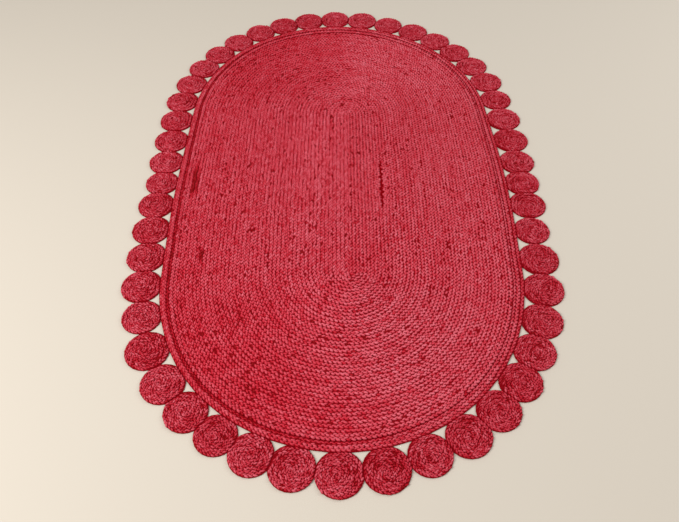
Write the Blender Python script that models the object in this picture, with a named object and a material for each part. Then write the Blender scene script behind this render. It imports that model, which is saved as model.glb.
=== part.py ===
# Oval braid rug: one long braid coiled round a straight middle line, four border rounds of the
# same braid, two of them raised and one sunk, and an edge of small coiled discs sewn to the last
# round and to each other. Metres, +Z up. The rug lies flat on Z = 0 with its length along Y, and
# the origin is the middle of its box on the floor.
#
# Stations run round the rug anticlockwise, seen from above, one for each edge disc. Station 1 is
# in the middle of the -Y end.

import math

import bpy
import bmesh
from mathutils import Vector

# Driving dimensions.
DISC_COUNT = 48
RING_RADIUS = 0.697  # of the line that the disc ring is laid out on, at each round end
RING_STRAIGHT = 0.933  # the straight run of that line on each long side
EDGE_RADIUS = 0.633  # from the middle line to the outer face of the edge round
FIRST_DISC = -0.017  # along the ring line, anticlockwise, from the middle of the -Y end
SEAM = 0.0003  # between neighbouring pieces
DISC_SEAM = 0.0004  # between a disc and the edge round, which bends a little along it
ROUND_WIDTH = 0.0119  # one round of braid in the border

FIELD_HEIGHT = 0.0095
RAISED_HEIGHT = 0.0120
SUNK_HEIGHT = 0.0075
EDGE_HEIGHT = 0.0095
DISC_HEIGHT = 0.0100

DISC_RADIUS = 0.070  # of a disc with its neighbours at the usual distance
DISC_GIVE = 0.5  # how much of a tighter or looser place goes into a disc's size
DISC_ODD_SIZES = {3: -4, 11: -6, 17: -4, 23: -3, 37: -3, 42: -4, 46: -2}  # radius, in millimetres
DISC_SEAT = 0.885  # how far its middle lies from the edge round, in disc radii
DISC_SIDES = 24  # of the circle that a disc is cut from
DISC_SHOULDER = 0.0025  # the chamfer round its upper edge
LOOP_SIDES = 2 * DISC_COUNT  # of each border round

# Where the hand-made oval is out of true, in millimetres: the edge outwards, and the disc there
# along the edge, anticlockwise. Between these stations both change smoothly.
OUT_OF_TRUE = [
    {"station": 1, "out": 5, "along": -3},
    {"station": 4, "out": 0, "along": 4},
    {"station": 8, "out": -10, "along": -6},
    {"station": 10, "out": 2, "along": 3},
    {"station": 12, "out": 18, "along": 10},
    {"station": 14, "out": 22, "along": -12},
    {"station": 16, "out": 13, "along": -2},
    {"station": 19, "out": -1, "along": 4},
    {"station": 22, "out": 2, "along": 0},
    {"station": 25, "out": 11, "along": 12},
    {"station": 28, "out": 4, "along": 7},
    {"station": 32, "out": -17, "along": 4},
    {"station": 36, "out": -4, "along": 9},
    {"station": 38, "out": 1, "along": -11},
    {"station": 42, "out": -12, "along": -10},
    {"station": 44, "out": -7, "along": 10},
    {"station": 46, "out": -2, "along": 2},
    {"station": 48, "out": 2, "along": -9},
]

COLOURS = {
    "field_braid": (0.50, 0.030, 0.055, 1.0),
    "border_braid": (0.47, 0.024, 0.048, 1.0),
    "disc_braid": (0.44, 0.016, 0.040, 1.0),
}
BRAID_ROUGHNESS = 0.85


def clear_scene():
    for thing in list(bpy.data.objects):
        bpy.data.objects.remove(thing, do_unlink=True)


def braid_material(name):
    material = bpy.data.materials.new(name)
    material.use_nodes = True
    shader = material.node_tree.nodes["Principled BSDF"]
    shader.inputs["Base Color"].default_value = COLOURS[name]
    shader.inputs["Roughness"].default_value = BRAID_ROUGHNESS
    shader.inputs["Metallic"].default_value = 0.0
    return material


def out_of_true(column, station):
    """The table's column at any station, in metres, as a smooth closed curve through its rows."""
    rows = OUT_OF_TRUE
    count = len(rows)
    place = (station - 1) % DISC_COUNT + 1
    here = max(i for i in range(count) if rows[i]["station"] <= place)

    def knot(i):
        turns, row = divmod(i, count)
        return rows[row]["station"] + turns * DISC_COUNT, rows[row][column] / 1000

    (x0, y0), (x1, y1), (x2, y2), (x3, y3) = [knot(here + step) for step in (-1, 0, 1, 2)]
    span = x2 - x1
    u = (place - x1) / span
    slope1 = (y2 - y0) / (x2 - x0) * span
    slope2 = (y3 - y1) / (x3 - x1) * span
    start = y1 * (2 * u**3 - 3 * u**2 + 1) + slope1 * (u**3 - 2 * u**2 + u)
    end = y2 * (3 * u**2 - 2 * u**3) + slope2 * (u**3 - u**2)
    return start + end


def spine(station):
    """The point of the straight middle line that a station is measured from, and its direction."""
    quarter = math.pi * RING_RADIUS / 2
    around = 2 * RING_STRAIGHT + 4 * quarter
    run = (FIRST_DISC + (station - 1) / DISC_COUNT * around) % around
    near, far = Vector((0, -RING_STRAIGHT / 2)), Vector((0, RING_STRAIGHT / 2))
    if run < quarter:
        turn = run / RING_RADIUS - math.pi / 2
        return near, Vector((math.cos(turn), math.sin(turn)))
    run -= quarter
    if run < RING_STRAIGHT:
        return near + Vector((0, run)), Vector((1, 0))
    run -= RING_STRAIGHT
    if run < 2 * quarter:
        turn = run / RING_RADIUS
        return far, Vector((math.cos(turn), math.sin(turn)))
    run -= 2 * quarter
    if run < RING_STRAIGHT:
        return far - Vector((0, run)), Vector((-1, 0))
    run -= RING_STRAIGHT
    turn = run / RING_RADIUS + math.pi
    return near, Vector((math.cos(turn), math.sin(turn)))


def on_edge(station, outwards=0.0):
    """A point that lies outwards of the edge round's outer face, at a station."""
    point, direction = spine(station)
    return point + direction * (EDGE_RADIUS + out_of_true("out", station) + outwards)


def border_loop(depth):
    """A closed loop at a depth inside the edge, with one flat side facing each disc."""
    steps = LOOP_SIDES / DISC_COUNT
    stations = [1 + (side - 0.5) / steps for side in range(LOOP_SIDES)]
    return [on_edge(station, -depth) for station in stations]


def disc_layout():
    """Each disc's middle, its radius and the way out from the rug there."""
    stations = [1 + number for number in range(DISC_COUNT)]
    usual = (2 * RING_STRAIGHT + 2 * math.pi * RING_RADIUS) / DISC_COUNT
    places = [station + out_of_true("along", station) / usual for station in stations]
    seats = [on_edge(place, RING_RADIUS - EDGE_RADIUS) for place in places]
    discs = []
    for number, place in enumerate(places):
        before = seats[number] - seats[number - 1]
        after = seats[(number + 1) % DISC_COUNT] - seats[number]
        looser = (before.length + after.length) / 2 / usual - 1
        radius = DISC_RADIUS * (1 + DISC_GIVE * looser) + DISC_ODD_SIZES.get(number + 1, 0) / 1000
        discs.append({
            "middle": on_edge(place, DISC_SEAT * radius),
            "radius": radius,
        })
    return discs


def cut(outline, point, direction):
    """The part of a closed outline that lies behind a line through point, facing direction."""
    kept = []
    for i, end in enumerate(outline):
        start = outline[i - 1]
        start_beyond = (start - point).dot(direction)
        end_beyond = (end - point).dot(direction)
        if (start_beyond > 0) != (end_beyond > 0):
            kept.append(start.lerp(end, start_beyond / (start_beyond - end_beyond)))
        if end_beyond <= 0:
            kept.append(end)
    return kept


def disc_outline(disc, neighbours, facing_side):
    """A circle pressed flat where it meets its two neighbours and the edge round."""
    turns = [2 * math.pi * side / DISC_SIDES for side in range(DISC_SIDES)]
    outline = [disc["middle"] + disc["radius"] * Vector((math.cos(a), math.sin(a))) for a in turns]
    for other in neighbours:
        apart = other["middle"] - disc["middle"]
        gap = apart.length
        to_seam = gap / 2 + (disc["radius"] ** 2 - other["radius"] ** 2) / (2 * gap)
        direction = apart / gap
        outline = cut(outline, disc["middle"] + direction * (to_seam - SEAM / 2), direction)
    start, end = facing_side
    along = (end - start).normalized()
    inwards = Vector((-along.y, along.x))
    outline = cut(outline, start - inwards * DISC_SEAM, inwards)
    return without_slivers(outline)


def without_slivers(outline, shortest=0.003):
    """The outline without points that almost meet the next one."""
    return [p for i, p in enumerate(outline) if (p - outline[i - 1]).length > shortest]


def finish(name, mesh_data, material):
    mesh = bpy.data.meshes.new(name)
    bmesh.ops.recalc_face_normals(mesh_data, faces=mesh_data.faces)
    mesh_data.to_mesh(mesh)
    mesh_data.free()
    mesh.materials.append(material)
    piece = bpy.data.objects.new(name, mesh)
    bpy.context.collection.objects.link(piece)
    return piece


def plate(name, outline, height, shoulder, material):
    """A flat plate on the floor, its upper edge chamfered by shoulder."""
    mesh_data = bmesh.new()
    base = mesh_data.faces.new([mesh_data.verts.new((p.x, p.y, 0)) for p in outline])
    extruded = bmesh.ops.extrude_face_region(mesh_data, geom=[base], use_keep_orig=True)["geom"]
    sides = [part for part in extruded if isinstance(part, bmesh.types.BMVert)]
    top = next(part for part in extruded if isinstance(part, bmesh.types.BMFace))
    bmesh.ops.translate(mesh_data, verts=sides, vec=(0, 0, height - shoulder))
    mesh_data.normal_update()
    bmesh.ops.inset_region(mesh_data, faces=[top], thickness=shoulder, use_even_offset=True)
    bmesh.ops.translate(mesh_data, verts=top.verts[:], vec=(0, 0, shoulder))
    return finish(name, mesh_data, material)


def border_round(name, depth, height, shift, material):
    """One closed round of the border, its outer face at a depth inside the edge."""
    mesh_data = bmesh.new()
    corners = [(depth, 0), (depth, height), (depth + ROUND_WIDTH, height), (depth + ROUND_WIDTH, 0)]
    loops = []
    for at_depth, z in corners:
        points = [p + shift for p in border_loop(at_depth)]
        loops.append([mesh_data.verts.new((p.x, p.y, z)) for p in points])
    for loop, next_loop in zip(loops, loops[1:] + loops[:1]):
        for i in range(LOOP_SIDES):
            mesh_data.faces.new([loop[i - 1], loop[i], next_loop[i], next_loop[i - 1]])
    return finish(name, mesh_data, material)


def edge_discs(shift, material):
    discs = disc_layout()
    sides = border_loop(0)
    for number, disc in enumerate(discs):
        neighbours = [discs[number - 1], discs[(number + 1) % DISC_COUNT]]
        facing_side = (sides[2 * number], sides[2 * number + 1])
        outline = [p + shift for p in disc_outline(disc, neighbours, facing_side)]
        plate(f"disc_{number + 1:02d}", outline, DISC_HEIGHT, DISC_SHOULDER, material)


def middle_of_box():
    """The middle of the box round all the discs, before the rug is centred on the origin."""
    discs = disc_layout()
    low = [min(disc["middle"][axis] - disc["radius"] for disc in discs) for axis in (0, 1)]
    high = [max(disc["middle"][axis] + disc["radius"] for disc in discs) for axis in (0, 1)]
    return Vector(((low[0] + high[0]) / 2, (low[1] + high[1]) / 2))


def build_rug():
    clear_scene()
    materials = {name: braid_material(name) for name in COLOURS}
    border = materials["border_braid"]
    shift = -middle_of_box()
    step = ROUND_WIDTH + SEAM
    border_round("edge_round", 0, EDGE_HEIGHT, shift, border)
    border_round("outer_raised_round", step, RAISED_HEIGHT, shift, border)
    border_round("sunk_round", 2 * step, SUNK_HEIGHT, shift, border)
    border_round("inner_raised_round", 3 * step, RAISED_HEIGHT, shift, border)
    field = [p + shift for p in border_loop(4 * step)]
    plate("field_coil", field, FIELD_HEIGHT, DISC_SHOULDER, materials["field_braid"])
    edge_discs(shift, materials["disc_braid"])


build_rug()
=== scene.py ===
import math

import bmesh
import bpy
import numpy as np
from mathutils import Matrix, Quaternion, Vector, noise


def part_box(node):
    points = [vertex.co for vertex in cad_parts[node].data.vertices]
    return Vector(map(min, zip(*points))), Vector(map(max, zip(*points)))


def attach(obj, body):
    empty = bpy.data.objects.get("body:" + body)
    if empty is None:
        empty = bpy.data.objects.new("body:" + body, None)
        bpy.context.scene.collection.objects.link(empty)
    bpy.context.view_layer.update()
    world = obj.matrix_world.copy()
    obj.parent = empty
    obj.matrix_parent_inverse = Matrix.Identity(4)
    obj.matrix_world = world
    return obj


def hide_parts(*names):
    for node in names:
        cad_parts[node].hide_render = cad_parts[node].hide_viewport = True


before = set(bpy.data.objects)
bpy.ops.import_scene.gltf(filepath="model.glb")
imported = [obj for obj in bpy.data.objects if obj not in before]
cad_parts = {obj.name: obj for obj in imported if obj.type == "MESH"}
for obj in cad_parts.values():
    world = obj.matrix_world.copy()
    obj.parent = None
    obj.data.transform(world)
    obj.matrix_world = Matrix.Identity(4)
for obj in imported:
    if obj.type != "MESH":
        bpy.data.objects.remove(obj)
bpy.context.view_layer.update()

seed = 12  # of all that is uneven
chance = np.random.default_rng(seed)
noise.seed_set(seed)  # without it noise_vector follows the clock


# Small helpers for working by hand in object and edit mode

def selectOnly(*things):
    bpy.ops.object.select_all(action="DESELECT")
    for thing in things:
        thing.select_set(True)
    bpy.context.view_layer.objects.active = things[-1]


def selectPoints(piece, wanted):
    bpy.ops.object.mode_set(mode="EDIT")
    bpy.ops.mesh.select_mode(type="VERT")
    bpy.ops.mesh.select_all(action="DESELECT")
    bpy.ops.object.mode_set(mode="OBJECT")
    for point in piece.data.vertices:
        point.select = bool(wanted(point.co))
    bpy.ops.object.mode_set(mode="EDIT")


def applyModifier(piece, kind, **settings):
    selectOnly(piece)
    modifier = piece.modifiers.new(kind.title(), kind)
    for setting, value in settings.items():
        setattr(modifier, setting, value)
    bpy.ops.object.modifier_apply(modifier=modifier.name)


def remove(*things):
    for thing in things:
        bpy.data.objects.remove(thing, do_unlink=True)


def addNode(tree, kind, **settings):
    node = tree.nodes.new(kind)
    for setting, value in settings.items():
        if setting in node.inputs:
            node.inputs[setting].default_value = value
        else:
            setattr(node, setting, value)
    return node


def addMapRange(tree, socket, fromLow, fromHigh, toLow, toHigh):
    node = tree.nodes.new("ShaderNodeMapRange")
    node.inputs["From Min"].default_value = fromLow
    node.inputs["From Max"].default_value = fromHigh
    node.inputs["To Min"].default_value = toLow
    node.inputs["To Max"].default_value = toHigh
    tree.links.new(socket, node.inputs["Value"])
    return node.outputs["Result"]


# Camera, light and floor

view = {
    "place": (-0.0358, -1.8973, 1.8250),
    "pitch": 39.465,
    "turn": -0.756,
    "roll": -0.529,
    "lens": 35.43,
    "keyPlace": (-3.0, -1.8, 3.0),
    "keySize": 2.2,
    "keyPower": 160,
    "keyColour": (1.0, 0.97, 0.93),
    "rimPlace": (3.8, 0.6, 2.6),
    "rimSize": 1.8,
    "rimPower": 64,
    "rimColour": (1, 1, 1),
    "skyStrength": 0.65,
    "skyColour": (1, 0.98, 0.95, 1),
    "floorSize": 30,
    "floorColour": (0.56, 0.51, 0.44, 1),
    "floorRoughness": 0.75,
}


def addLight(name, place, size, power, colour):
    bpy.ops.object.light_add(type="AREA", location=place)
    light = bpy.context.object
    light.name = name
    light.rotation_euler = (-Vector(place)).to_track_quat("-Z", "Y").to_euler()
    light.data.size = size
    light.data.energy = power
    light.data.color = colour


def addCameraAndLight():
    bpy.ops.object.camera_add(location=view["place"])
    camera = bpy.context.object
    camera.name = "standingView"
    camera.rotation_mode = "QUATERNION"
    turn = Quaternion((0, 0, 1), math.radians(view["turn"]))
    pitch = Quaternion((1, 0, 0), math.radians(view["pitch"]))
    roll = Quaternion((0, 0, 1), math.radians(view["roll"]))
    camera.rotation_quaternion = turn @ pitch @ roll
    camera.data.lens = view["lens"]
    bpy.context.scene.camera = camera
    addLight("windowLight", view["keyPlace"], view["keySize"], view["keyPower"], view["keyColour"])
    addLight("doorLight", view["rimPlace"], view["rimSize"], view["rimPower"], view["rimColour"])
    world = bpy.data.worlds.new("softRoom")
    world.use_nodes = True
    sky = world.node_tree.nodes["Background"]
    sky.inputs["Color"].default_value = view["skyColour"]
    sky.inputs["Strength"].default_value = view["skyStrength"]
    bpy.context.scene.world = world
    bpy.context.scene.view_settings.view_transform = "Standard"


def addFloor():
    bpy.ops.mesh.primitive_plane_add(size=view["floorSize"])
    floor = bpy.context.object
    floor.name = "paleFloor"
    paint = bpy.data.materials.new("paleFloor")
    paint.use_nodes = True
    shader = paint.node_tree.nodes["Principled BSDF"]
    shader.inputs["Base Color"].default_value = view["floorColour"]
    shader.inputs["Roughness"].default_value = view["floorRoughness"]
    floor.data.materials.append(paint)


addCameraAndLight()
addFloor()
print("camera, light and floor are in")


# The plait's finish: dyed plant fibre, with painted highlight where it stands up and painted shade down in
# the grooves

fibre = {
    "field": {"deep": (0.475, 0.007, 0.021), "mid": (0.57, 0.048, 0.076), "pale": (0.70, 0.155, 0.205)},
    "border": {"deep": (0.42, 0.002, 0.013), "mid": (0.55, 0.041, 0.067), "pale": (0.70, 0.155, 0.205)},
    "disc": {"deep": (0.375, 0.002, 0.012), "mid": (0.505, 0.039, 0.064), "pale": (0.66, 0.142, 0.188)},
    # the darkest colour, reached where the painted shade of grooves and sunk lobes is deepest
    "shadedPit": (0.22, 0.0002, 0.002),
    "deepAt": 0.25,
    "midAt": 0.60,
    "roughness": 0.45,
    "shine": 0.10,
    "alongStrands": 0.7,
    "strandsOnLobe": (15, 2, 1),
    "shiftByPlace": (60, 85, 65),
    "strandFrom": 0.34,
    "strandTo": 0.66,
    "strandTone": 0.30,
    # painted light by height: highlight painted on the lobe tops, shade painted low in the grooves, between
    # these two heights
    "heightShadeAndHighlight": 0.22,
    "shadeDeepestAt": 0.0030,
    "highlightFullAt": 0.0086,
    "bump": 0.0009,
    "bumpStrength": 0.7,
}


def braidMaterial(name, colours):
    finish = bpy.data.materials.new(name)
    finish.use_nodes = True
    tree = finish.node_tree
    shader = tree.nodes["Principled BSDF"]
    shader.inputs["Roughness"].default_value = fibre["roughness"]
    shader.inputs["Specular IOR Level"].default_value = fibre["shine"]
    shader.inputs["Anisotropic"].default_value = fibre["alongStrands"]
    link = tree.links.new
    strandWay = addNode(tree, "ShaderNodeTangent", direction_type="UV_MAP")
    link(strandWay.outputs["Tangent"], shader.inputs["Tangent"])

    # strands run along each lobe, and shift from lobe to lobe
    where = addNode(tree, "ShaderNodeTexCoord")
    stretch = addNode(tree, "ShaderNodeMapping", Scale=fibre["strandsOnLobe"])
    link(where.outputs["UV"], stretch.inputs["Vector"])
    drift = addNode(tree, "ShaderNodeVectorMath", operation="MULTIPLY_ADD")
    drift.inputs[1].default_value = fibre["shiftByPlace"]
    link(where.outputs["Object"], drift.inputs[0])
    link(stretch.outputs["Vector"], drift.inputs[2])
    strands = addNode(tree, "ShaderNodeTexNoise", Scale=1, Detail=3)
    link(drift.outputs["Vector"], strands.inputs["Vector"])
    sharper = addMapRange(tree, strands.outputs["Fac"], fibre["strandFrom"], fibre["strandTo"], -0.5, 0.5)

    # the tone is the lobe's own, with its strands added and, by its height, painted highlight on top and
    # painted shade down in the grooves
    tone = addNode(tree, "ShaderNodeAttribute", attribute_name="tone")
    split = addNode(tree, "ShaderNodeSeparateXYZ")
    link(where.outputs["Object"], split.inputs["Vector"])
    # painted shade and highlight from the height: darkest at the groove bottom, palest at the lobe top
    height = addMapRange(
        tree, split.outputs["Z"], fibre["shadeDeepestAt"], fibre["highlightFullAt"],
        -fibre["heightShadeAndHighlight"], fibre["heightShadeAndHighlight"],
    )
    withStrands = addNode(tree, "ShaderNodeMath", operation="MULTIPLY_ADD")
    withStrands.inputs[1].default_value = fibre["strandTone"]
    link(sharper, withStrands.inputs[0])
    link(tone.outputs["Fac"], withStrands.inputs[2])
    withHeightShade = addNode(tree, "ShaderNodeMath", operation="ADD")
    link(withStrands.outputs["Value"], withHeightShade.inputs[0])
    link(height, withHeightShade.inputs[1])

    # the ramp's pit and deep end shows the painted shade of grooves and sunk lobes, its pale end the painted
    # highlight on lobe tops and the painted sheen
    ramp = addNode(tree, "ShaderNodeValToRGB")
    ramp.color_ramp.elements[0].color = (*fibre["shadedPit"], 1)
    ramp.color_ramp.elements[1].color = (*colours["pale"], 1)
    ramp.color_ramp.elements.new(fibre["deepAt"]).color = (*colours["deep"], 1)
    ramp.color_ramp.elements.new(fibre["midAt"]).color = (*colours["mid"], 1)
    link(withHeightShade.outputs["Value"], ramp.inputs["Fac"])
    link(ramp.outputs["Color"], shader.inputs["Base Color"])

    bump = addNode(tree, "ShaderNodeBump", Distance=fibre["bump"], Strength=fibre["bumpStrength"])
    link(strands.outputs["Fac"], bump.inputs["Height"])
    link(bump.outputs["Normal"], shader.inputs["Normal"])
    return finish


# the underlayer's dark red is painted shade: it shows through the gaps between lobes and rows, where there is
# only shade
gapShadeGround = {
    "top": 0.45,  # how high it comes, as a share of each CAD piece's height
    "dark": (0.11, 0.0002, 0.0015, 1),
    "light": (0.27, 0.0008, 0.006, 1),
    "clumps": 160,
    "roughness": 0.9,
    "shine": 0.05,
}


def gapShadeMaterial():
    finish = bpy.data.materials.new("gapShadeUnderlayer")
    finish.use_nodes = True
    tree = finish.node_tree
    shader = tree.nodes["Principled BSDF"]
    shader.inputs["Roughness"].default_value = gapShadeGround["roughness"]
    shader.inputs["Specular IOR Level"].default_value = gapShadeGround["shine"]
    where = addNode(tree, "ShaderNodeTexCoord")
    clumps = addNode(tree, "ShaderNodeTexNoise", Scale=gapShadeGround["clumps"], Detail=3)
    tree.links.new(where.outputs["Object"], clumps.inputs["Vector"])
    ramp = addNode(tree, "ShaderNodeValToRGB")
    ramp.color_ramp.elements[0].color = gapShadeGround["dark"]
    ramp.color_ramp.elements[1].color = gapShadeGround["light"]
    tree.links.new(clumps.outputs["Fac"], ramp.inputs["Fac"])
    tree.links.new(ramp.outputs["Color"], shader.inputs["Base Color"])
    return finish


finishes = {name: braidMaterial(name + "Plait", fibre[name]) for name in ("field", "border", "disc")}
underlayer = gapShadeMaterial()
print("finishes are mixed")


# One stitch of the plait: a lobe of strand on each side, half a pitch apart

plait = {
    "pitch": 0.0146,
    "width": 0.0134,
    "height": 0.0095,
    "calm": 1,
    "outerLobe": {
        "length": 0.0165, "width": 0.0094, "height": 0.0073, "slant": 24, "sideways": 0.0012, "lower": 0,
    },
    "innerLobe": {
        "length": 0.0165, "width": 0.0074, "height": 0.0066, "slant": 18, "sideways": 0.0040, "lower": 0.0007,
    },
    "shoulderFrom": 0.5,  # shares of the way from a lobe's middle to its tip
    "tipFrom": 0.9,
    "outerDip": 0.0038,
    "outerShoulder": 0.0012,
    "outerTurn": 0.0006,
    "innerDip": 0.0014,
    "patchy": 0.06,
    "unevenTop": 0.0005,
    "unevenSize": 0.06,
    "unevenSide": 0.0008,
    "slip": 0.0018,
    "slipRun": 9,  # lobes over which the slip changes
    "loose": 0.09,
    "looseRun": 22,  # lobes over which loose stretches come and go
    "looseEven": 0.5,
    "looseSwing": 0.6,
    "looseBounds": (0.15, 2),
    "looseScale": 1.5,
    "looseDrop": 0.0024,
    # painted shade on sunk lobes: their tone drops with how far they sank
    "looseShade": 0.65,
    "lowest": 0.0004,
}


def settleOrder(thing):  # a new sphere lists its faces in another order each run
    shape = bmesh.new()
    shape.from_mesh(thing.data)
    shape.faces.sort(key=lambda face: sum(2 ** point.index for point in face.verts))
    shape.to_mesh(thing.data)
    shape.free()


def makeLobe(side, lobeSize):
    bpy.ops.mesh.primitive_uv_sphere_add(segments=4, ring_count=4, radius=0.5, rotation=(0, math.pi / 2, 0))
    lobe = bpy.context.object
    settleOrder(lobe)
    bpy.ops.object.transform_apply(location=True, rotation=True, scale=True)
    bpy.ops.object.mode_set(mode="EDIT")
    bpy.ops.mesh.select_all(action="SELECT")
    bpy.ops.transform.resize(value=(lobeSize["length"], lobeSize["width"], lobeSize["height"]))
    bpy.ops.object.mode_set(mode="OBJECT")
    reach = lobeSize["length"] / 2
    shoulder = plait["shoulderFrom"] * reach
    tip = plait["tipFrom"] * reach
    selectPoints(lobe, lambda place: shoulder < place.x < tip)
    bpy.ops.transform.translate(value=(0, 0, -plait["outerShoulder"]))
    bpy.ops.object.mode_set(mode="OBJECT")
    selectPoints(lobe, lambda place: place.x > tip)
    bpy.ops.transform.translate(value=(0, -side * plait["outerTurn"], -plait["outerDip"]))
    bpy.ops.object.mode_set(mode="OBJECT")
    selectPoints(lobe, lambda place: place.x < -tip)
    bpy.ops.transform.translate(value=(0, 0, -plait["innerDip"]))
    bpy.ops.mesh.select_all(action="SELECT")
    bpy.ops.transform.rotate(
        value=-side * math.radians(lobeSize["slant"]), orient_axis="Z", center_override=(0, 0, 0)
    )
    lift = plait["height"] - lobeSize["height"] / 2 - lobeSize["lower"]
    bpy.ops.transform.translate(
        value=(side * plait["pitch"] / 4, side * lobeSize["sideways"], lift)
    )
    bpy.ops.object.mode_set(mode="OBJECT")
    return lobe


def makeStitch(name, innerLobe, outerLobe):
    lobes = [makeLobe(1, innerLobe), makeLobe(-1, outerLobe)]
    selectOnly(*lobes)
    bpy.ops.object.join()
    stitch = bpy.context.object
    stitch.name = name
    bpy.ops.object.shade_smooth()
    return stitch


stitch = makeStitch("stitch", plait["innerLobe"], plait["outerLobe"])
lobePoints = len(stitch.data.vertices) // 2
print("one stitch of plait is made,", len(stitch.data.polygons), "faces")


# Laying the plait along a route. A route is a list of spots: x, y, scale, row, turn

def addGuide(name, route):
    line = bpy.data.curves.new(name + "Guide", "CURVE")
    line.dimensions = "3D"
    line.twist_mode = "Z_UP"
    spline = line.splines.new("POLY")
    spline.points.add(len(route) - 1)
    for point, spot in zip(spline.points, route):
        point.co = (spot[0], spot[1], 0, 1)
        point.radius = spot[2]  # the curve modifier scales the plait by this
    guide = bpy.data.objects.new(name + "Guide", line)
    bpy.context.collection.objects.link(guide)
    return guide


def slowly(count, every):
    knots = chance.normal(0, 1, count // every + 3)
    return np.interp(np.arange(count) / every, np.arange(len(knots)), knots)


def loosen(braid, calm):  # no two lobes alike, and some sunk out of line
    points = np.empty(len(braid.data.vertices) * 3)
    braid.data.vertices.foreach_get("co", points)
    lobes = points.reshape(-1, lobePoints, 3)
    middles = lobes.mean(axis=1, keepdims=True)
    count = len(lobes)
    swing = plait["looseEven"] + plait["looseSwing"] * slowly(count, plait["looseRun"])
    likely = plait["loose"] * np.clip(swing, *plait["looseBounds"]) ** 2 / plait["looseScale"]
    loose = chance.random(count) < likely * calm
    drop = np.abs(chance.normal(0, plait["unevenTop"], count))
    drop += loose * plait["looseDrop"] * chance.uniform(0.5, 1.0, count)
    lobes = middles + (lobes - middles) * (1 + calm * chance.normal(0, plait["unevenSize"], (count, 1, 3)))
    lobes[:, :, 0] += calm * plait["slip"] * slowly(count, plait["slipRun"])[:, None]
    lobes[:, :, 1] += calm * chance.normal(0, plait["unevenSide"], (count, 1))
    lobes[:, :, 2] = np.maximum(lobes[:, :, 2] - drop[:, None], plait["lowest"])
    braid.data.vertices.foreach_set("co", lobes.ravel())
    return middles[:, 0, 0], drop / plait["looseDrop"]


def layPlait(name, route, size, finish, toneOf, oneStitch):
    guide = addGuide(name, route)
    route = np.array(route)
    along = np.concatenate([[0], np.cumsum(np.hypot(*np.diff(route[:, :2], axis=0).T))])
    count = round(along[-1] / size["pitch"])
    pitch = along[-1] / count

    selectOnly(oneStitch)
    bpy.ops.object.duplicate()
    braid = bpy.context.object
    braid.name = name
    bpy.ops.object.mode_set(mode="EDIT")
    bpy.ops.mesh.select_all(action="SELECT")
    bpy.ops.transform.resize(
        value=(pitch / plait["pitch"], size["width"] / plait["width"], size["height"] / plait["height"]),
        center_override=(0, 0, 0),
    )
    bpy.ops.object.mode_set(mode="OBJECT")
    applyModifier(
        braid, "ARRAY", count=count, use_relative_offset=False, use_constant_offset=True,
        constant_offset_displace=(pitch, 0, 0),
    )
    places, loose = loosen(braid, size["calm"])
    applyModifier(braid, "CURVE", object=guide, deform_axis="POS_X")
    remove(guide)

    x, y, scale, row, turn = (np.interp(places, along, column) for column in route.T)
    tones = np.array([toneOf(*facts) for facts in zip(x, y, row, turn)])
    # sunk lobes get painted shade, darker the further they sank
    tones += chance.uniform(-size["patchy"], size["patchy"], len(tones)) - plait["looseShade"] * loose
    tone = braid.data.attributes.new("tone", "FLOAT", "POINT")
    tone.data.foreach_set("value", np.repeat(tones, lobePoints))
    braid.data.materials.append(finish)
    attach(braid, "root")
    return braid


# The route of the coil, worked out from the field's and the edge round's outlines

field = {
    "rounds": 44,
    "coreNear": (0.0277, 0.024),
    "coreFar": (0.0440, -0.040),
    "innerFuller": 0.05,
    "wander": 0.0016,
    "wanderSize": 0.13,
    "lengths": 4,
    "lean": (-0.003, -0.004),
    "slitAfter": 9,
    "slitPlace": -0.01,
    "slitHalf": 0.145,
    "slitOpen": 0.0066,
    "slitZigzag": 0.0050,
    "slitStep": 0.032,
    "turnStep": 0.012,
    "turnMultiple": 12,  # so that neighbouring rounds share their spots
    "coreSamples": 36,
    "leftSamples": 36,
    "rightSamples": 140,  # fine enough for the zigzag of the slit
    "tailTurn": 0.42,
    "tailSamples": 30,
    "tailThinnest": 0.02,
    "tone": 0.56,
    "streak": 0.12,
    "streakRounds": 1.3,
    "streakTurns": 2.5,
    "patch": 0.02,
    "patchSize": 0.22,
}


def rayTo(outline, base, direction):  # how far off the outline is, looking from base along direction
    start, end = outline, np.roll(outline, -1, axis=0)
    run = end - start
    cross = direction[0] * run[:, 1] - direction[1] * run[:, 0]
    cross = np.where(np.abs(cross) < 1e-12, 1e-12, cross)
    off = start - base
    far = (off[:, 0] * run[:, 1] - off[:, 1] * run[:, 0]) / cross
    part = (off[:, 0] * direction[1] - off[:, 1] * direction[0]) / cross
    hits = far[(part >= -1e-6) & (part <= 1 + 1e-6) & (far > 0)]
    return hits.max()


def loopsOf(node):  # a CAD node's outlines at the floor, the outer one first
    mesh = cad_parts[node].data
    ends = {}
    for face in mesh.polygons:
        spots = [mesh.vertices[i].co for i in face.vertices]
        low = [(round(s.x, 6), round(s.y, 6)) for s in spots if s.z < 1e-4]
        if len(low) == 2 and low[0] != low[1]:
            ends.setdefault(low[0], set()).add(low[1])
            ends.setdefault(low[1], set()).add(low[0])
    loops = []
    while ends:
        here = next(iter(ends))
        loop = []
        while here is not None:
            loop.append(here)
            others = ends.pop(here)
            here = next((spot for spot in others if spot in ends), None)
        loops.append(np.array(loop))
    return sorted(loops, key=lambda loop: -np.ptp(loop[:, 0]))


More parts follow.
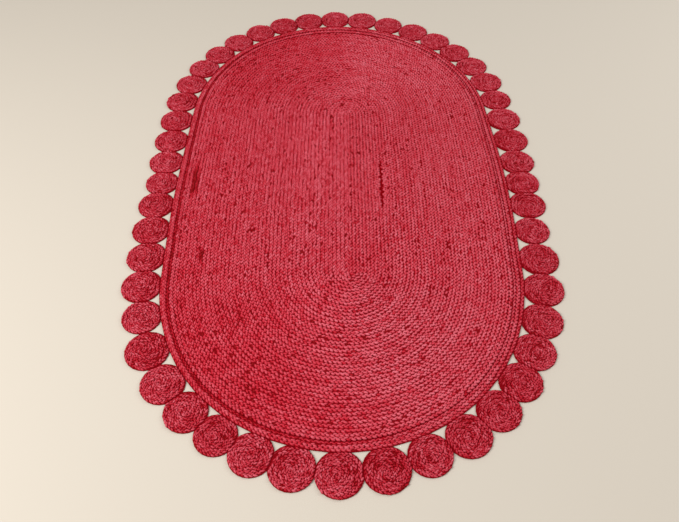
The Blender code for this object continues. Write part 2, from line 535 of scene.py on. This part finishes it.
edgeOutline = loopsOf("edge_round")[0]
fieldOutline = loopsOf("field_coil")[0]
fieldLow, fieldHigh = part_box("field_coil")
fieldHalf = (fieldHigh[0] - fieldLow[0]) / 2
fieldMiddle = (fieldHigh[0] + fieldLow[0]) / 2
coreNear = np.array((fieldMiddle, fieldLow[1] + fieldHalf)) + field["coreNear"]
coreFar = np.array((fieldMiddle, fieldHigh[1] - fieldHalf)) + field["coreFar"]
print("outlines read:", len(edgeOutline), len(fieldOutline))


def spotOn(leg, part):  # a round's four legs are the far turn, left side, near turn and right side
    if leg == 0:
        angle = math.pi * part
        return coreFar, np.array((math.cos(angle), math.sin(angle)))
    if leg == 1:
        return coreFar + (coreNear - coreFar) * part, np.array((-1.0, 0.0))
    if leg == 2:
        angle = math.pi * (1 + part)
        return coreNear, np.array((math.cos(angle), math.sin(angle)))
    return coreNear + (coreFar - coreNear) * part, np.array((1.0, 0.0))


reachTable = {}


def reachOf(leg, part):
    key = (leg, round(part, 5))
    if key not in reachTable:
        base, direction = spotOn(leg, part)
        reachTable[key] = (rayTo(fieldOutline, base, direction), rayTo(edgeOutline, base, direction))
    return reachTable[key]


def rowPlace(row):
    part = row / (field["rounds"] + 0.5)
    return part * (1 + field["innerFuller"] * (1 - part))


def rowWidth(row):
    part = row / (field["rounds"] + 0.5)
    return (1 + field["innerFuller"] * (1 - 2 * part)) / (field["rounds"] + 0.5)


def wandered(spot, amount):  # the coil isn't quite true, and lies a little to one side
    push = noise.noise_vector(Vector((spot[0], spot[1], 0)) / field["wanderSize"]) * amount
    return spot[0] + push.x + field["lean"][0], spot[1] + push.y + field["lean"][1]


def slitPush(row, y):  # two rows have parted on the right side, and their neighbours give way
    along = (y - field["slitPlace"]) / field["slitHalf"]
    away = row - field["slitAfter"] - 0.5
    if abs(along) > 1:
        return 0
    zigzag = field["slitZigzag"] * math.sin(2 * math.pi * y / field["slitStep"])
    push = math.copysign(field["slitOpen"], away) + zigzag
    return push * (1 - along ** 4) * math.exp(-abs(away) / 2)


def eased(part):
    return part * part * (3 - 2 * part)


def samplesOf(leg, distance):
    if leg in (0, 2):
        multiple = field["turnMultiple"]
        count = max(multiple, int(math.pi * distance / field["turnStep"]))
        count = multiple * math.ceil(count / multiple)
    else:
        count = field["leftSamples"] if leg == 1 else field["rightSamples"]
    return [i / count for i in range(count)]


def fieldRoute():
    route = []
    for i in range(field["coreSamples"] + 1):  # the middle line, which the coil starts from
        part = i / field["coreSamples"]
        base, direction = spotOn(3, part)
        scale = reachOf(3, part)[0] * rowWidth(0) / plait["width"]
        route.append((*wandered(base, field["wander"]), scale, 0, 0.75 + part / 4))
    for row in range(1, field["rounds"] + 1):
        for leg in range(4):
            distance = reachOf(leg, 0.5)[0] * rowPlace(row)
            for part in samplesOf(leg, distance):
                base, direction = spotOn(leg, part)
                reach = reachOf(leg, part)[0]
                here = row - 1 + eased(part) if leg == 0 else row
                spot = base + direction * reach * rowPlace(here)
                calm = 1 - rowPlace(here) ** 4
                scale = reach * rowWidth(here) / plait["width"]
                x, y = wandered(spot, field["wander"] * calm)
                if leg == 3:
                    x += slitPush(row, y)
                route.append((x, y, scale, here, (leg + part) / 4))
    # the tail thins out beside the row that steps outwards
    for part in np.linspace(0, field["tailTurn"], field["tailSamples"]):
        base, direction = spotOn(0, part)
        left = max(1 - eased(part), field["tailThinnest"])
        here = field["rounds"] + 0.5 - left / 2
        reach = reachOf(0, part)[0]
        spot = base + direction * reach * rowPlace(here)
        scale = left * reach * rowWidth(here) / plait["width"]
        route.append((*wandered(spot, 0), scale, here, part / 4))
    return route


# painted sheen and shade in the field: paler with painted sheen on the right-hand side, darker with painted
# shade in the left-hand turns, plus two narrow dark lines at the left and two faint stripes near the middle;
# x, y, half width, half length and how much
sheenAndShadeMarks = [
    {"x": -0.575, "y": 0.025, "halfX": 0.014, "halfY": 0.095, "tone": -0.60},
    {"x": -0.507, "y": -0.365, "halfX": 0.006, "halfY": 0.035, "tone": -0.60},
    {"x": -0.125, "y": -0.10, "halfX": 0.060, "halfY": 0.50, "tone": 0.05},
    {"x": 0.070, "y": 0.02, "halfX": 0.050, "halfY": 0.42, "tone": -0.03},
    {"x": -0.350, "y": -0.76, "halfX": 0.240, "halfY": 0.22, "tone": -0.11},
    {"x": -0.280, "y": -0.92, "halfX": 0.120, "halfY": 0.08, "tone": -0.05},
    {"x": -0.270, "y": 0.80, "halfX": 0.300, "halfY": 0.26, "tone": -0.14},
    {"x": 0.530, "y": 0.00, "halfX": 0.160, "halfY": 1.20, "tone": 0.06},
    {"x": 0.340, "y": 0.00, "halfX": 0.320, "halfY": 1.60, "tone": 0.11},
    {"x": 0.200, "y": -0.78, "halfX": 0.280, "halfY": 0.30, "tone": 0.09},
    {"x": 0.300, "y": 0.80, "halfX": 0.240, "halfY": 0.32, "tone": 0.05},
]


def paintedSheenAndShade(x, y):
    total = 0
    for mark in sheenAndShadeMarks:
        away = ((x - mark["x"]) / mark["halfX"]) ** 2 + ((y - mark["y"]) / mark["halfY"]) ** 2
        total += mark["tone"] * math.exp(-away * away)
    return total


def fieldTone(x, y, row, turn):
    angle = 2 * math.pi * turn
    turns = field["streakTurns"]
    streak = noise.noise((row / field["streakRounds"], turns * math.cos(angle), turns * math.sin(angle)))
    patch = noise.noise((x / field["patchSize"], y / field["patchSize"], 5))
    # the lobe's tone carries the painted sheen and shade of the marks
    return field["tone"] + field["streak"] * streak + field["patch"] * patch + paintedSheenAndShade(x, y)


def layField():
    route = fieldRoute()
    share = len(route) // field["lengths"]
    lengths = []
    for part in range(field["lengths"]):
        end = len(route) if part == field["lengths"] - 1 else (part + 1) * share + 1
        name = "fieldPlait" + str(part + 1)
        lengths.append(
            layPlait(name, route[part * share:end], plait, finishes["field"], fieldTone, stitch)
        )
        print(name, "laid,", len(lengths[-1].data.polygons), "faces")
    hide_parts("field_coil")
    return lengths


fieldLengths = layField()


# The four border rounds

border = {
    "edge_round": {"piece": "edgePlait", "place": 0.52, "width": 0.0116, "height": 0.0086},
    "outer_raised_round": {"piece": "outerRaisedPlait", "place": 1.5, "width": 0.0129, "height": 0.0122},
    "sunk_round": {"piece": "sunkPlait", "place": 2.5, "width": 0.0112, "height": 0.0070},
    "inner_raised_round": {"piece": "innerRaisedPlait", "place": 3.5, "width": 0.0129, "height": 0.0122},
}
borderPlait = {"pitch": 0.0150, "patchy": 0.08, "calm": 0.45}
borderSamples = {"turn": 160, "side": 60}
borderLook = {
    "tone": 0.5,
    "patch": 0.10,
    "patchSize": 0.18,
    "sheenAndShadeMarks": 0.5,
    # painted shade on the sunk round, darker to the left and lighter to the right
    "sunk": 0.04,
    "sunkAcross": 0.18,
    "sunkReach": 0.4,
}


def borderTone(x, y, row, turn):
    sunk = 0
    if row == border["sunk_round"]["place"]:  # painted shade: darker on the left than on the right, for how the light falls across the raised rounds beside it
        across = min(1, max(-1, x / borderLook["sunkReach"]))
        sunk = borderLook["sunk"] + borderLook["sunkAcross"] * across
    patch = noise.noise((x / borderLook["patchSize"], y / borderLook["patchSize"], row))
    # the field's painted sheen and shade reach the border at half strength
    return borderLook["tone"] + sunk + borderLook["patch"] * patch + borderLook["sheenAndShadeMarks"] * paintedSheenAndShade(x, y)


def layBorder():
    rounds = []
    for node, size in border.items():
        route = []
        for leg in range(4):
            count = borderSamples["turn"] if leg in (0, 2) else borderSamples["side"]
            for i in range(count):
                base, direction = spotOn(leg, i / count)
                inner, outer = reachOf(leg, i / count)
                spot = base + direction * (outer - (outer - inner) * size["place"] / 4)
                if node != "edge_round":  # the others lie to one side with the field
                    spot = wandered(spot, 0)
                route.append((*spot, 1, size["place"], (leg + i / count) / 4))
        route.append(route[0])
        size = dict(size, **borderPlait)
        piece = layPlait(size["piece"], route, size, finishes["border"], borderTone, stitch)
        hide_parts(node)
        rounds.append(piece)
    return rounds


borderRounds = layBorder()
print("border rounds laid")


# The edge discs: a small coil each, wound outwards and pressed by its neighbours

disc = {
    "rounds": 6,
    "height": 0.0098,
    "pitch": 0.0115,
    "roundInside": 1.6,
    "stepArc": 0.32,
    "beginSpread": 0.5,
    "firstSamples": 12,
    "moreSamples": 4,
    "tailSamples": 6,
    "tailThinnest": 0.03,
    "overlap": -0.0010,
    "patchy": 0.19,
    "calm": 1.2,
    "outerLobe": {
        "length": 0.0190, "width": 0.0086, "height": 0.0071, "slant": 22, "sideways": 0.0026, "lower": 0,
    },
    "innerLobe": {
        "length": 0.0190, "width": 0.0082, "height": 0.0068, "slant": 20, "sideways": 0.0038, "lower": 0.0003,
    },
    "tone": 0.48,
    "shade": 0.05,  # how much one disc differs from the next
    "patch": 0.10,
    "patchSize": 0.04,
}
discStitch = makeStitch("discStitch", disc["innerLobe"], disc["outerLobe"])


def layDisc(node):
    outline = loopsOf(node)[0]
    middle = outline.mean(axis=0)
    usual = np.hypot(*(outline - middle).T).mean() + disc["overlap"]
    size = dict(disc, width=usual / disc["rounds"])
    inwards = np.array((coreNear[0], np.clip(middle[1], coreNear[1], coreFar[1]))) - middle
    begin = math.atan2(inwards[1], inwards[0]) + chance.uniform(-disc["beginSpread"], disc["beginSpread"])
    shade = chance.uniform(-disc["shade"], disc["shade"])
    route = []

    def addSpot(turn, row, thin):
        angle = begin + 2 * math.pi * turn
        direction = np.array((math.cos(angle), math.sin(angle)))
        pressed = rayTo(outline, middle, direction) + disc["overlap"]
        share = min(1, row / disc["rounds"]) ** disc["roundInside"]
        reach = pressed * share + usual * (1 - share)
        place = middle + direction * reach * (row - 0.5) / disc["rounds"]
        route.append((*place, thin, row, turn))

    for turn in range(disc["rounds"]):
        count = disc["firstSamples"] + disc["moreSamples"] * turn
        for i in range(count):
            step = eased(min(1, i / count / disc["stepArc"]))
            row = turn + step if turn else 0.5 + step / 2
            addSpot(i / count, row, 1)
    for i in range(disc["tailSamples"] + 1):  # the tail thins out beside the last step
        part = i / disc["tailSamples"]
        left = 1 - eased(part)
        thin = max(left, disc["tailThinnest"])
        addSpot(part * disc["stepArc"], disc["rounds"] + 0.5 - left / 2, thin)

    def discTone(x, y, row, turn):
        patch = noise.noise((x / disc["patchSize"], y / disc["patchSize"], 3))
        return disc["tone"] + shade + disc["patch"] * patch

    piece = layPlait(node + "_plait", route, size, finishes["disc"], discTone, discStitch)
    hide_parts(node)
    return piece


discNodes = [node for node in sorted(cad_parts) if node.startswith("disc")]
discPlaits = [layDisc(node) for node in discNodes]
print("edge discs wound:", len(discPlaits))
remove(stitch, discStitch)


# The sewn underlayer that closes the bottom of the plaits; its dark red is painted shade where it shows in
# the gaps

def layGround(name, nodes):
    copies = []
    for node in nodes:
        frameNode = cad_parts[node]
        copy = bpy.data.objects.new(node + "Ground", frameNode.data.copy())
        bpy.context.collection.objects.link(copy)
        selectOnly(copy)
        bpy.ops.object.mode_set(mode="EDIT")
        bpy.ops.mesh.select_all(action="SELECT")
        bpy.ops.mesh.remove_doubles(threshold=0.00001)
        bpy.ops.transform.resize(value=(1, 1, gapShadeGround["top"]), center_override=(0, 0, 0))
        bpy.ops.object.mode_set(mode="OBJECT")
        copies.append(copy)
    selectOnly(*copies)
    bpy.ops.object.join()
    piece = bpy.context.object
    piece.name = name
    piece.data.materials.clear()
    piece.data.materials.append(underlayer)
    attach(piece, "root")
    return piece


fieldGround = layGround("fieldUnderlayer", ["field_coil"])
borderGround = layGround("borderUnderlayer", list(border))
discGround = layGround("discUnderlayer", discNodes)
print("underlayer is in")
